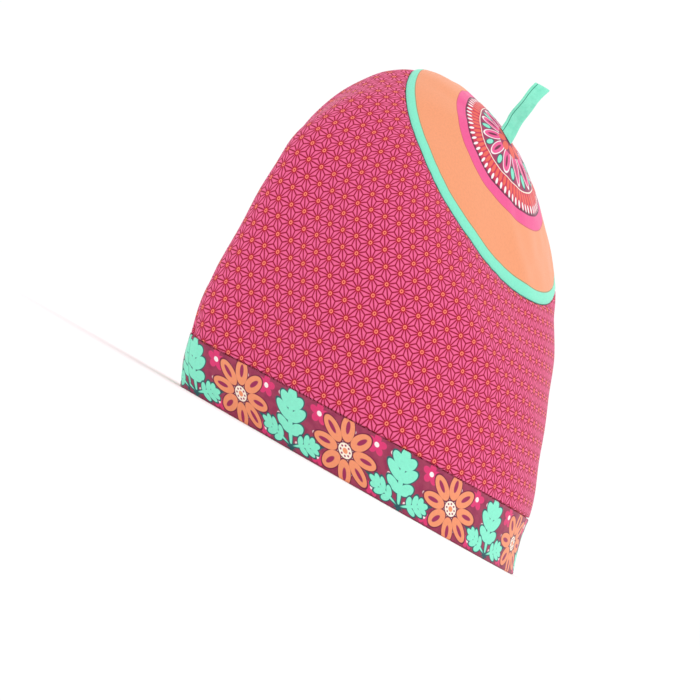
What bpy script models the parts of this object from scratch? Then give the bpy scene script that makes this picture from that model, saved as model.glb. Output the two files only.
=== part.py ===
"""A fitted tea cosy: two padded side panels, a round padded crown, a folded border, a lining and a loop.

Units are metres, +Z is up and the front is at -Y. The cosy stands on its hem with its hollow open below.
It is as uneven as worn cloth: it bulges to the left, where its flat front turns a soft corner at the side seam,
and its round crown has slid to the right and forward.
Every layer is placed by three numbers: the turn about the upright axis at the hem, the run of cloth up from
the hem, and the depth below or above the outer skin.
"""

import math
from functools import lru_cache

import bmesh
import bpy
from mathutils import Vector

MM = 0.001

# Where the middle of the mouth lies, which puts the middle of the whole cosy's footprint on the origin.
MOUTH_X = 7.097 * MM
MOUTH_Y = -0.125 * MM

# Level sections of the outer skin, from the hem to the crown seam. Lengths are in millimetres from the middle
# of the mouth, leans are in degrees.
SECTION_COLUMNS = (
    "level", "centre_x", "centre_y", "centre_z", "half_width", "half_depth", "lean_right", "lean_front"
)
SECTIONS = (
    (0.00, -1.0, 0.0, 0.0, 85.6, 84.0, 0.0, 0.0),
    (0.10, -6.1, 0.0, 14.5, 86.2, 84.4, 0.0, 0.0),
    (0.25, -10.1, 0.0, 38.2, 87.6, 85.6, 5.0, 2.0),
    (0.50, -15.5, -0.5, 72.5, 83.8, 83.0, 8.9, 6.0),
    (0.75, -21.0, -1.5, 111.0, 77.9, 77.0, 15.3, 12.0),
    (0.90, -18.9, -2.5, 135.0, 67.6, 67.6, 24.5, 18.0),
    (1.00, -13.3, -3.0, 144.6, 60.5, 60.5, 30.0, 22.5),
)

# The crown's dome above its seam. Its middle has slid to the left on it.
CROWN_RISE = 21.5 * MM
CROWN_FALL = 1.45
CROWN_FALL_SIDES = 0.40
CROWN_LEFT_FULLNESS = 0.15
CROWN_MIDDLE_SHIFT = -12.0 * MM

# The front panel hangs flat towards its left, so the wall turns a soft corner there. It stands out by a share
# of the half width, over some degrees to either side, and fades between two levels.
CORNER_TURN = 210.5
CORNER_PROUD = 0.12
CORNER_TO_FRONT = 14.0
CORNER_TO_BACK = 10.0
CORNER_FADES_FROM = 0.7
CORNER_ENDS = 1.0

# Side seams, as turns in degrees at the hem: 0 is the right side and 270 is the front. The left seam starts in
# front of the soft corner and slants back by some degrees on its way up, and the cloth beside it with it.
SEAM_LEFT = 214.0
SEAM_RIGHT = 394.0
SEAM_SLANT = 34.0
SLANT_REACH = 60.0
SEAM_PITCH = 2.0
SEAM_DIP = 0.7 * MM
SEAM_REACH = 4.0 * MM
SEAM_LEVEL_RADIUS = 87.6 * MM
PANEL_COLUMNS = 20

# Soft dents and swells of the skin, in degrees, millimetres and millimetres proud of the skin.
DENT_COLUMNS = ("turn", "run", "half_turn", "half_run", "proud")
DENTS = (
    (200.0, 80.0, 30.0, 22.0, -1.2),
    (234.0, 118.0, 20.0, 24.0, 1.0),
    (262.0, 52.0, 16.0, 12.0, -0.9),
    (286.0, 88.0, 22.0, 26.0, 1.1),
    (330.0, 60.0, 20.0, 22.0, -1.3),
    (20.0, 70.0, 24.0, 22.0, -1.2),
    (70.0, 110.0, 30.0, 30.0, 1.4),
    (118.0, 66.0, 18.0, 26.0, -1.8),
    (150.0, 124.0, 22.0, 20.0, -1.2),
)
DENTS_START = 12.0 * MM
DENTS_FULL = 40.0 * MM

# Thicknesses and depths of the layers.
CLEARANCE = 0.3 * MM
BAND_CLOTH = 1.2 * MM
BAND_PROUD = 0.2 * MM
PANEL_AT_HEM = 1.6 * MM
PANEL_PADDED = 4.6 * MM
PANEL_AT_CROWN = 3.0 * MM
CROWN_PADDED = 4.4 * MM
LINING_CLOTH = 1.0 * MM

# How far from a seam or the band each change of thickness reaches.
PADDING_AT_BAND = 30.0 * MM
INSIDE_AT_BAND = 24.0 * MM
PADDING_AT_CROWN_SEAM = 28.0 * MM
CROWN_PADDING_AT_SEAM = 20.0 * MM

# The border band: how far it runs up the outside and the inside.
BAND_OUTSIDE = 26.0 * MM
BAND_INSIDE = 12.0 * MM
BAND_ROUNDING = 0.9 * MM
BAND_CORNER = 0.3
BAND_SEAM_DIP = 0.3

# The panels step out from under the band over this run of cloth above it.
STEP_MIDDLE = 0.8 * MM
STEP_END = 1.2 * MM

# Rows of the mesh between the band and the crown seam, and over the crown. The first lies close to its seam.
PANEL_ROWS = 10
CROWN_ROWS = 8
ROW_BESIDE_SEAM = 3.0 * MM
CROWN_SEAM_DIP = 0.8 * MM
CROWN_SEAM_REACH = 3.0 * MM

# The loop of folded tape.
LOOP_WIDTH = 7.2 * MM
LOOP_HEIGHT = 27.0 * MM
LOOP_TAPE = 0.9 * MM
LOOP_PARTING = 0.5 * MM
LOOP_SWAY = 1.1 * MM
LOOP_SWAYS_SIDEWAYS = 0.8
LOOP_SWAYS_FORWARD = 1.0
LOOP_LEAN = 1.8 * MM
LOOP_SLOPED_FOOT = 0.45
LOOP_STEPS = 12
LOOP_BEND_STEPS = 4

WALL_SAMPLES = 64
CROWN_SAMPLES = 32
NORMAL_REACH = 5.0 * MM
NORMAL_TURN = math.radians(3.0)
UPRIGHT_BELOW = 16.0 * MM
UPRIGHT_ENDS = 44.0 * MM


def smooth_step(low, high, value):
    """0 below low, 1 above high, and a smooth rise between."""
    share = min(max((value - low) / (high - low), 0.0), 1.0)
    return share * share * (3.0 - 2.0 * share)


def degrees_apart(turn, degrees):
    """How far a turn in radians lies past a turn in degrees, the short way round."""
    return (math.degrees(turn) - degrees + 180.0) % 360.0 - 180.0


def section_at(level):
    """The named sizes of the section at a level, on a smooth curve through the table's rows."""
    rows = SECTIONS
    index = 0
    while index < len(rows) - 2 and level > rows[index + 1][0]:
        index += 1
    span = rows[index + 1][0] - rows[index][0]
    share = (level - rows[index][0]) / span

    def slope(row, column):
        before, after = rows[max(row - 1, 0)], rows[min(row + 1, len(rows) - 1)]
        return (after[column] - before[column]) / (after[0] - before[0])

    section = {}
    for column, name in enumerate(SECTION_COLUMNS):
        start, end = rows[index][column], rows[index + 1][column]
        start_slope, end_slope = slope(index, column) * span, slope(index + 1, column) * span
        section[name] = (
            start * (2 * share**3 - 3 * share**2 + 1)
            + start_slope * (share**3 - 2 * share**2 + share)
            + end * (3 * share**2 - 2 * share**3)
            + end_slope * (share**3 - share**2)
        )
    return section


def section_axes(section):
    """The section's middle, and its directions to the right, to the back and out of its plane."""
    right_lean = math.radians(section["lean_right"])
    front_lean = math.radians(section["lean_front"])
    centre = Vector((section["centre_x"], section["centre_y"], section["centre_z"])) * MM
    centre += Vector((MOUTH_X, MOUTH_Y, 0.0))
    right = Vector((math.cos(right_lean), 0.0, -math.sin(right_lean)))
    back = Vector((0.0, math.cos(front_lean), math.sin(front_lean)))
    back = (back - right * back.dot(right)).normalized()
    return centre, right, back, right.cross(back)


def slanted(turn, level):
    """The turn about the axis, in radians, that a column of cloth has reached at a level."""
    aside = degrees_apart(turn, SEAM_LEFT) / SLANT_REACH
    return turn - math.radians(SEAM_SLANT * level * math.exp(-(aside**2)))


def wall_point(turn, level):
    """A point of the side skin at a turn in radians and a level from 0 at the hem to 1 at the crown seam."""
    section = section_at(level)
    centre, right, back, _ = section_axes(section)
    turn = slanted(turn, level)
    aside = degrees_apart(turn, CORNER_TURN)
    aside /= CORNER_TO_FRONT if aside > 0.0 else CORNER_TO_BACK
    corner = CORNER_PROUD * (1.0 - smooth_step(CORNER_FADES_FROM, CORNER_ENDS, level))
    reach = MM * (1.0 + corner * math.exp(-(aside**2)))
    across = right * (section["half_width"] * reach * math.cos(turn))
    return centre + across + back * (section["half_depth"] * reach * math.sin(turn))


def crown_point(turn, ring):
    """A point of the crown's skin at a turn in radians and a ring from 1 at the seam to 0 at the middle."""
    section = section_at(1.0)
    centre, right, back, up = section_axes(section)
    turn = slanted(turn, 1.0)
    to_left = max(0.0, -math.cos(turn))
    fall = CROWN_FALL + CROWN_FALL_SIDES * math.cos(turn) ** 2
    rise = max(0.0, 1.0 - ring**fall) ** (1.0 - CROWN_LEFT_FULLNESS * to_left**2)
    radius = section["half_width"] * MM * ring
    sideways = radius * math.cos(turn) + CROWN_MIDDLE_SHIFT * (1.0 - ring**2)
    return centre + right * sideways + back * (radius * math.sin(turn)) + up * (CROWN_RISE * rise)


@lru_cache(maxsize=None)
def meridian(turn):
    """Points from the hem to the crown's middle at one turn, the run to each, and the run to the seam."""
    points = [wall_point(turn, step / WALL_SAMPLES) for step in range(WALL_SAMPLES + 1)]
    # Rings close up near the seam, where the dome is steepest.
    rings = [math.cos(0.5 * math.pi * step / CROWN_SAMPLES) for step in range(1, CROWN_SAMPLES + 1)]
    points += [crown_point(turn, max(ring, 0.0)) for ring in rings]
    runs = [0.0]
    for first, second in zip(points, points[1:]):
        runs.append(runs[-1] + (second - first).length)
    return points, runs, runs[WALL_SAMPLES]


def skin_point(turn, run):
    """The point of the outer skin at a turn and a run of cloth up from the hem."""
    points, runs, _ = meridian(turn)
    run = min(max(run, 0.0), runs[-1])
    index = 0
    while index < len(runs) - 2 and run > runs[index + 1]:
        index += 1
    share = (run - runs[index]) / (runs[index + 1] - runs[index])
    return points[index].lerp(points[index + 1], share)


@lru_cache(maxsize=None)
def skin_normal(turn, run):
    """The direction out of the skin, smoothed over a few millimetres and level near the hem."""
    _, runs, _ = meridian(turn)
    if run > runs[-1] - NORMAL_REACH:
        _, _, _, out = section_axes(section_at(1.0))
        return out
    along = skin_point(turn, run + NORMAL_REACH) - skin_point(turn, run - NORMAL_REACH)
    around = skin_point(turn + NORMAL_TURN, run) - skin_point(turn - NORMAL_TURN, run)
    out = around.cross(along).normalized()
    level = Vector((out.x, out.y, 0.0)).normalized()
    return level.lerp(out, smooth_step(UPRIGHT_BELOW, UPRIGHT_ENDS, run)).normalized()


def relief(turn, run):
    """How far the soft dents and swells stand proud of the skin."""
    total = 0.0
    for row in DENTS:
        dent = dict(zip(DENT_COLUMNS, row))
        aside = degrees_apart(turn, dent["turn"]) / dent["half_turn"]
        distance = aside**2 + ((run / MM - dent["run"]) / dent["half_run"]) ** 2
        total += dent["proud"] * MM * math.exp(-distance)
    return total * smooth_step(DENTS_START, DENTS_FULL, run)


def placed(turn, run, depth):
    """A point of a layer that lies at a depth, negative inside, from the dented skin."""
    return skin_point(turn, run) + skin_normal(turn, run) * (depth + relief(turn, run))


def panel_turns(start):
    """The columns of one half, in radians, from just past one side seam to just short of the next."""
    half_gap = math.degrees(0.5 * CLEARANCE / SEAM_LEVEL_RADIUS)
    step = 180.0 / PANEL_COLUMNS
    degrees = [half_gap, SEAM_PITCH] + [step * column for column in range(1, PANEL_COLUMNS)]
    degrees += [180.0 - SEAM_PITCH, 180.0 - half_gap]
    return [math.radians(start + angle) for angle in degrees]


def round_turns():
    """The same columns all the way round, with one column on each side seam."""
    turns = []
    for start in (SEAM_LEFT, SEAM_RIGHT):
        turns += [math.radians(start)] + panel_turns(start)[1:-1]
    return turns


def panel_rows(turn):
    """Runs of cloth at the rows of the side wall, from inside the hem to just short of the crown seam."""
    _, _, seam = meridian(turn)
    bottom = BAND_CLOTH + 2.0 * CLEARANCE
    low = [bottom, BAND_INSIDE + CLEARANCE, BAND_OUTSIDE + CLEARANCE, BAND_OUTSIDE + STEP_MIDDLE]
    first = BAND_OUTSIDE + ROW_BESIDE_SEAM
    last = seam - 0.5 * CLEARANCE
    return low + [first + (last - first) * row / PANEL_ROWS for row in range(PANEL_ROWS + 1)]


def crown_rows(turn):
    """Runs of cloth at the rows from the crown seam to near the crown's middle."""
    _, runs, seam = meridian(turn)
    return [seam + (runs[-1] - seam) * row / CROWN_ROWS for row in range(CROWN_ROWS)]


def seam_dip(turn, run):
    """How far the cloth is drawn in beside the side seams."""
    nearest = min(abs(degrees_apart(turn, seam)) for seam in (SEAM_LEFT, SEAM_RIGHT))
    distance = math.radians(nearest) * SEAM_LEVEL_RADIUS
    return SEAM_DIP * math.exp(-((distance / SEAM_REACH) ** 2))


def crown_seam_dip(seam, run):
    """How far the cloth is drawn in beside the crown seam, which lies at the run called seam."""
    return CROWN_SEAM_DIP * math.exp(-(((run - seam) / CROWN_SEAM_REACH) ** 2))


def panel_thickness(turn, run):
    """The padded wall is thin at the hem, full half way up, and drawn in again at the crown seam."""
    _, _, seam = meridian(turn)
    rise = smooth_step(BAND_OUTSIDE, BAND_OUTSIDE + PADDING_AT_BAND, run)
    fall = smooth_step(seam - PADDING_AT_CROWN_SEAM, seam, run)
    full = PANEL_AT_HEM + (PANEL_PADDED - PANEL_AT_HEM) * rise
    return full + (PANEL_AT_CROWN - full) * fall


def under_band():
    """The depth of the panel's outer face where the band covers it."""
    return BAND_PROUD - BAND_CLOTH - CLEARANCE


def panel_inside(turn, run):
    """The depth of the panels' inner face."""
    below = under_band() - PANEL_AT_HEM
    above = -panel_thickness(turn, run)
    return below + (above - below) * smooth_step(BAND_OUTSIDE, BAND_OUTSIDE + INSIDE_AT_BAND, run)


def crown_inside(turn, run):
    """The depth of the crown's inner face."""
    _, runs, seam = meridian(turn)
    share = smooth_step(seam, seam + CROWN_PADDING_AT_SEAM, run)
    return -(PANEL_AT_CROWN + (CROWN_PADDED - PANEL_AT_CROWN) * share)


def material(name, colour, roughness):
    """A cloth of one colour."""
    cloth = bpy.data.materials.new(name)
    cloth.use_nodes = True
    shader = cloth.node_tree.nodes["Principled BSDF"]
    shader.inputs["Base Color"].default_value = (*colour, 1.0)
    shader.inputs["Roughness"].default_value = roughness
    shader.inputs["Metallic"].default_value = 0.0
    return cloth


def finish(name, mesh_data, cloth):
    """Closes a bmesh into a named object with its material."""
    bmesh.ops.recalc_face_normals(mesh_data, faces=mesh_data.faces)
    mesh = bpy.data.meshes.new(name)
    mesh_data.to_mesh(mesh)
    mesh_data.free()
    mesh.materials.append(cloth)
    mesh.shade_smooth()
    mesh.set_sharp_from_angle(angle=math.radians(40.0))
    piece = bpy.data.objects.new(name, mesh)
    bpy.context.scene.collection.objects.link(piece)
    return piece


def patch(mesh_data, low, low_next, high_next, high):
    """Two triangles, split from the low corner to the opposite one, so that neighbouring layers match."""
    mesh_data.faces.new((low, low_next, high_next))
    mesh_data.faces.new((low, high_next, high))


def swept_band(name, turns, section, cloth):
    """A section, given as (run, depth) pairs up one face and down the other, swept over the turns."""
    mesh_data = bmesh.new()
    rings = []
    for turn in turns:
        rings.append([mesh_data.verts.new(placed(turn, run, depth)) for run, depth in section(turn)])
    for first, second in zip(rings, rings[1:]):
        count = len(first)
        for index in range(count):
            following = (index + 1) % count
            low, high = (index, following) if index < count // 2 else (following, index)
            patch(mesh_data, first[low], second[low], second[high], first[high])
    for ring in (rings[0], rings[-1]):
        cap_section(mesh_data, ring)
    return finish(name, mesh_data, cloth)


def cap_section(mesh_data, ring):
    """Closes one end of a swept section, whose first half runs up one face and second half down the other."""
    low, high = 0, len(ring) - 1
    while high - low > 2:
        patch(mesh_data, ring[low], ring[low + 1], ring[high - 1], ring[high])
        low += 1
        high -= 1


def panel_section(turn):
    """The padded side wall: up its outer face, stepping out above the band, and down its inner face."""
    _, _, seam = meridian(turn)
    outer = []
    for run in panel_rows(turn):
        free = -seam_dip(turn, run) - crown_seam_dip(seam, run)
        step_out = smooth_step(BAND_OUTSIDE + CLEARANCE, BAND_OUTSIDE + STEP_END, run)
        outer.append((run, under_band() + (free - under_band()) * step_out))
    inner = [(run, panel_inside(turn, run)) for run, _ in outer]
    return outer + inner[::-1]


def cuff_section(turn):
    """The border band: its outer leaf, the turn at the hem, and its inner leaf, as one folded section."""
    face = BAND_PROUD
    back = BAND_PROUD - BAND_CLOTH
    inner_face = under_band() - PANEL_AT_HEM - CLEARANCE
    inner_back = inner_face - LINING_CLOTH
    corner = BAND_CORNER * BAND_ROUNDING
    dip = BAND_SEAM_DIP * seam_dip(turn, 0.0)
    outside = [
        (BAND_INSIDE, inner_back),
        (BAND_ROUNDING, inner_back),
        (corner, inner_back + corner),
        (0.0, inner_back + BAND_ROUNDING),
        (0.0, face - BAND_ROUNDING),
        (corner, face - corner),
        (BAND_ROUNDING, face),
        (BAND_INSIDE, face - dip),
        (BAND_OUTSIDE, face - dip),
    ]
    inside = [
        (BAND_INSIDE, inner_face),
        (BAND_CLOTH + BAND_ROUNDING, inner_face),
        (BAND_CLOTH + corner, inner_face),
        (BAND_CLOTH, inner_face + corner),
        (BAND_CLOTH, back - corner),
        (BAND_CLOTH + corner, back),
        (BAND_CLOTH + BAND_ROUNDING, back),
        (BAND_INSIDE, back),
        (BAND_OUTSIDE, back),
    ]
    return outside + inside[::-1]


def dome(name, rows_of, pole_depths, faces_of, cloth):
    """A closed dome of one cloth: rows of points up its outer and inner faces, with a pole to each face."""
    mesh_data = bmesh.new()
    turns = round_turns()
    outer, inner = [], []
    for turn in turns:
        rows = rows_of(turn)
        outer.append([mesh_data.verts.new(placed(turn, run, faces_of(turn, run)[0])) for run in rows])
        inner.append([mesh_data.verts.new(placed(turn, run, faces_of(turn, run)[1])) for run in rows])
    poles = [mesh_data.verts.new(pole_point(depth)) for depth in pole_depths]
    count = len(turns)
    for column in range(count):
        following = (column + 1) % count
        for face, pole in ((outer, poles[0]), (inner, poles[1])):
            here, beside = face[column], face[following]
            for row in range(len(here) - 1):
                patch(mesh_data, here[row], beside[row], beside[row + 1], here[row + 1])
            mesh_data.faces.new((here[-1], beside[-1], pole))
        patch(mesh_data, outer[column][0], outer[following][0], inner[following][0], inner[column][0])
    return finish(name, mesh_data, cloth)


def pole_point(depth):
    """The crown's middle, at a depth from the skin."""
    turn = math.radians(SEAM_LEFT)
    _, runs, _ = meridian(turn)
    _, _, _, out = section_axes(section_at(1.0))
    return skin_point(turn, runs[-1]) + out * depth


def crown_faces(turn, run):
    """Depths of the crown's outer and inner faces, with its outer edge drawn in at the seam."""
    _, _, seam = meridian(turn)
    return -crown_seam_dip(seam, run), crown_inside(turn, run)


def crown_and_edge_rows(turn):
    """The crown's rows, the first a little inside the seam."""
    rows = crown_rows(turn)
    _, _, seam = meridian(turn)
    return [seam + 0.5 * CLEARANCE, seam + ROW_BESIDE_SEAM] + rows[1:]


def lining_faces(turn, run):
    """Depths of the lining's two faces, just inside the panels and the crown."""
    _, _, seam = meridian(turn)
    wall = panel_inside(turn, run) if run <= seam else crown_inside(turn, run)
    return wall - CLEARANCE, wall - CLEARANCE - LINING_CLOTH


def lining_rows(turn):
    """The lining starts above the band's inner leaf and runs over the whole inside."""
    return panel_rows(turn)[1:] + crown_and_edge_rows(turn)


def loop_line():
    """The middle line of the folded tape in its side view: up one leg, round the fold and down the other."""
    half = 0.5 * (LOOP_TAPE + LOOP_PARTING)
    straight = LOOP_HEIGHT - half
    line = [(half, straight * step / LOOP_STEPS) for step in range(LOOP_STEPS + 1)]
    for step in range(1, LOOP_BEND_STEPS):
        angle = math.pi * step / LOOP_BEND_STEPS
        line.append((half * math.cos(angle), straight + half * math.sin(angle)))
    line += [(-aside, height) for aside, height in line[: LOOP_STEPS + 1][::-1]]
    return line


def make_loop(cloth):
    """Tape folded in half and stood on the crown's middle, with a slight sway, its two ends side by side."""
    foot = pole_point(CLEARANCE)
    _, _, _, out = section_axes(section_at(1.0))
    line = loop_line()
    mesh_data = bmesh.new()
    rings = []
    for index, (aside, height) in enumerate(line):
        before, after = line[max(index - 1, 0)], line[min(index + 1, len(line) - 1)]
        along = Vector((after[0] - before[0], after[1] - before[1])).normalized()
        side = Vector((along.y, -along.x)) * (0.5 * LOOP_TAPE)
        ring = []
        for across in (-0.5, 0.5):
            for face in (side, -side):
                x = across * LOOP_WIDTH
                y = aside + face.x
                share = height / LOOP_HEIGHT
                x += LOOP_SWAY * math.sin(math.tau * LOOP_SWAYS_SIDEWAYS * share) + LOOP_LEAN * share
                y += LOOP_SWAY * math.sin(math.tau * LOOP_SWAYS_FORWARD * share)
                z = height + face.y
                # The ends follow the slope of the crown that they are sewn to.
                slope = -(out.x * x + out.y * y) / out.z
                z += slope * (1.0 - smooth_step(0.0, LOOP_SLOPED_FOOT, share))
                ring.append(mesh_data.verts.new(foot + Vector((x, y, z))))
        rings.append([ring[0], ring[1], ring[3], ring[2]])
    for first, second in zip(rings, rings[1:]):
        for index in range(4):
            following = (index + 1) % 4
            mesh_data.faces.new((first[index], first[following], second[following], second[index]))
    mesh_data.faces.new(rings[0])
    mesh_data.faces.new(rings[-1])
    return finish("loop", mesh_data, cloth)


def main():
    for piece in list(bpy.data.objects):
        bpy.data.objects.remove(piece, do_unlink=True)

    magenta = material("magenta_print", (0.52, 0.045, 0.14), 0.85)
    crown_print = material("crown_print", (0.95, 0.40, 0.18), 0.85)
    border_print = material("border_print", (0.36, 0.05, 0.12), 0.85)
    lining_print = material("lining_print", (0.30, 0.05, 0.10), 0.9)
    mint = material("mint_tape", (0.22, 0.85, 0.58), 0.8)

    for name, start in (("front", SEAM_LEFT), ("back", SEAM_RIGHT)):
        turns = panel_turns(start)
        swept_band(f"panel_{name}", turns, panel_section, magenta)
        swept_band(f"cuff_{name}", turns, cuff_section, border_print)
    dome("crown", crown_and_edge_rows, (0.0, -CROWN_PADDED), crown_faces, crown_print)
    lining_top = -CROWN_PADDED - CLEARANCE
    dome("lining", lining_rows, (lining_top, lining_top - LINING_CLOTH), lining_faces, lining_print)
    make_loop(mint)


main()
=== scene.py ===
# %% [markdown]
# # A padded tea cosy, dressed piece by piece
#
# A tea cosy is a soft dome that stands over a teapot. This one has two padded side panels in a small magenta
# lattice print, a round padded crown with coloured rings, a border band folded under at the hem, a printed
# lining and a loop of mint tape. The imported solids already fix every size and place. This lesson gives each
# piece its cloth: finer folds, seams that draw in, and prints worked out by arithmetic.

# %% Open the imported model
import math

import bmesh
import bpy
import numpy as np
from mathutils import Matrix, Vector


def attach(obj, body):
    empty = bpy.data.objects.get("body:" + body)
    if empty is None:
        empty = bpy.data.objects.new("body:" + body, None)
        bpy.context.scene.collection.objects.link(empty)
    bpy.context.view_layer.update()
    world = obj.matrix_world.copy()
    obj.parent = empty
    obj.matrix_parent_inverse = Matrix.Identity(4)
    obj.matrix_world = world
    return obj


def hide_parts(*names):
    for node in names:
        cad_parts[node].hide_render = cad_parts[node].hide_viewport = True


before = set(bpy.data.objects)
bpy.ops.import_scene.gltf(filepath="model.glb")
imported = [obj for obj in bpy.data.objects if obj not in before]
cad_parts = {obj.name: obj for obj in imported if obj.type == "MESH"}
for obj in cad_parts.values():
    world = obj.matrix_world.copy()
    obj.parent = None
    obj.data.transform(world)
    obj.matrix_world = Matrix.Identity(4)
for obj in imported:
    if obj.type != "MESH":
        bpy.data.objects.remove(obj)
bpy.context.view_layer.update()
MM = 0.001
print("nodes to dress:", sorted(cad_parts))

# %% [markdown]
# ## The skin of the cosy
#
# Every layer follows one outer skin, so the skin comes first. A short table gives the middles, half widths
# and leans of seven sections, and a smooth curve runs through each column. The crown is a low dome on the
# last section. The same numbers made the solids, so the cloth lies exactly on them. Lengths are in
# millimetres and angles in degrees.

# %% The sections from hem to crown seam
MOUTH = np.array((7.097, -0.125, 0.0))
SECTION_COLUMNS = (
    "level", "centre_x", "centre_y", "centre_z", "half_width", "half_depth", "lean_right", "lean_front",
)
SECTIONS = np.array((
    (0.00, -1.0, 0.0, 0.0, 85.6, 84.0, 0.0, 0.0),
    (0.10, -6.1, 0.0, 14.5, 86.2, 84.4, 0.0, 0.0),
    (0.25, -10.1, 0.0, 38.2, 87.6, 85.6, 5.0, 2.0),
    (0.50, -15.5, -0.5, 72.5, 83.8, 83.0, 8.9, 6.0),
    (0.75, -21.0, -1.5, 111.0, 77.9, 77.0, 15.3, 12.0),
    (0.90, -18.9, -2.5, 135.0, 67.6, 67.6, 24.5, 18.0),
    (1.00, -13.3, -3.0, 144.6, 60.5, 60.5, 30.0, 22.5),
))
CROWN_RISE = 21.5
CROWN_FALL = 1.45
CROWN_FALL_SIDES = 0.40
CROWN_LEFT_FULLNESS = 0.15
CROWN_MIDDLE_SHIFT = -12.0
SEAM_LEFT = 214.0
SEAM_RIGHT = 394.0


def section_value(level, name):
    """One column of the table at any level, on a smooth curve through its rows."""
    levels, values = SECTIONS[:, 0], SECTIONS[:, SECTION_COLUMNS.index(name)]
    before = np.maximum(np.arange(len(levels)) - 1, 0)
    after = np.minimum(np.arange(len(levels)) + 1, len(levels) - 1)
    slopes = (values[after] - values[before]) / (levels[after] - levels[before])
    row = np.clip(np.searchsorted(levels, level, side="right") - 1, 0, len(levels) - 2)
    span = levels[row + 1] - levels[row]
    t = (level - levels[row]) / span
    return (
        values[row] * (2 * t**3 - 3 * t**2 + 1)
        + slopes[row] * span * (t**3 - 2 * t**2 + t)
        + values[row + 1] * (3 * t**2 - 2 * t**3)
        + slopes[row + 1] * span * (t**3 - t**2)
    )


def unit(vectors):
    """The same directions with a length of one."""
    return vectors / np.linalg.norm(vectors, axis=-1, keepdims=True)


def section_axes(level):
    """The middles of the sections, and their directions right, back and up out of their planes."""
    level = np.asarray(level, float)
    centre = np.stack([section_value(level, f"centre_{axis}") for axis in "xyz"], -1) + MOUTH
    right_lean = np.radians(section_value(level, "lean_right"))
    front_lean = np.radians(section_value(level, "lean_front"))
    zero = np.zeros_like(right_lean)
    right = np.stack([np.cos(right_lean), zero, -np.sin(right_lean)], -1)
    back = np.stack([zero, np.cos(front_lean), np.sin(front_lean)], -1)
    back = unit(back - right * np.sum(right * back, -1, keepdims=True))
    return centre, right, back, np.cross(right, back)


CROWN_MIDDLE, CROWN_RIGHT, CROWN_BACK, CROWN_UP = section_axes(1.0)
print("crown leans", round(math.degrees(math.acos(CROWN_UP[2])), 1), "degrees off upright")

# %% [markdown]
# A side point comes from a turn about the upright axis and a level. A crown point comes from a turn and a
# ring, which is 1 at the seam and 0 in the middle. Cloth is measured along itself, so the two are joined into
# one strip for each turn, from the hem to the crown's middle, and read by the run of cloth from the hem.
#
# The front panel hangs flat towards its left, so the wall turns a soft corner there. It is one swell in the
# plan of every section, wider on its front side, and it fades out below the round crown. The left side seam
# starts in front of this corner and slants back on its way up, and the strips beside it slant with it.

# %% Points of the skin by turn and run
WALL_STEPS = 64
CROWN_STEPS = 48
CORNER_TURN = 210.5
CORNER_PROUD = 0.12
CORNER_TO_FRONT = 14.0
CORNER_TO_BACK = 10.0
CORNER_FADES_FROM = 0.7
CORNER_ENDS = 1.0
SEAM_SLANT = 34.0
SLANT_REACH = 60.0


def smooth_step(low, high, value):
    """0 below low, 1 above high, and a smooth rise between."""
    share = np.clip((value - low) / (high - low), 0.0, 1.0)
    return share * share * (3.0 - 2.0 * share)


def between(first, last, share):
    """A value or a point on the way from the first to the last."""
    return first + (last - first) * share


def turn_apart(turns, turn):
    """Degrees from a turn, the short way round."""
    return (np.degrees(turns) - turn + 180.0) % 360.0 - 180.0


def slanted(turns, levels):
    """The turns that strips of cloth have reached at some levels, [turn, level]."""
    aside = turn_apart(turns, SEAM_LEFT)[:, None] / SLANT_REACH
    return turns[:, None] - np.radians(SEAM_SLANT * levels * np.exp(-(aside**2)))


def wall_points(turns, levels):
    """Side points for every turn and level."""
    centre, right, back, _ = section_axes(levels)
    reached = slanted(turns, levels)
    aside = turn_apart(reached, CORNER_TURN)
    beside_corner = aside / np.where(aside > 0.0, CORNER_TO_FRONT, CORNER_TO_BACK)
    corner = CORNER_PROUD * (1.0 - smooth_step(CORNER_FADES_FROM, CORNER_ENDS, levels))
    reach = 1.0 + corner * np.exp(-(beside_corner**2))
    to_right = (reach * section_value(levels, "half_width") * np.cos(reached))[..., None]
    to_back = (reach * section_value(levels, "half_depth") * np.sin(reached))[..., None]
    return centre + right * to_right + back * to_back


def crown_points(turns, rings):
    """Crown points for every turn and ring."""
    reached = slanted(turns, np.array([1.0]))
    cosine, sine = np.cos(reached), np.sin(reached)
    to_left = np.maximum(0.0, -cosine)
    fall = CROWN_FALL + CROWN_FALL_SIDES * cosine**2
    fullness = 1.0 - CROWN_LEFT_FULLNESS * to_left**2
    rise = CROWN_RISE * np.maximum(0.0, 1.0 - rings**fall) ** fullness
    radius = section_value(np.array([1.0]), "half_width")[0] * rings
    sideways = radius * cosine + CROWN_MIDDLE_SHIFT * (1.0 - rings**2)
    return (
        CROWN_MIDDLE
        + CROWN_RIGHT * sideways[..., None]
        + CROWN_BACK * (radius * sine)[..., None]
        + CROWN_UP * rise[..., None]
    )


def added_up(steps, axis=0):
    """Running totals of some steps, from zero on."""
    return np.insert(np.cumsum(steps, axis=axis), 0, 0.0, axis=axis)


def strips(turns):
    """For each turn: points from hem to middle, the run to each, and the run at the seam."""
    rings = np.cos(0.5 * np.pi * np.arange(1, CROWN_STEPS + 1) / CROWN_STEPS)
    wall = wall_points(turns, np.linspace(0.0, 1.0, WALL_STEPS + 1))
    points = np.concatenate([wall, crown_points(turns, np.maximum(rings, 0.0))], axis=1)
    steps = np.linalg.norm(np.diff(points, axis=1), axis=-1)
    runs = added_up(steps, 1)
    return points, runs, runs[:, WALL_STEPS]


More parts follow.
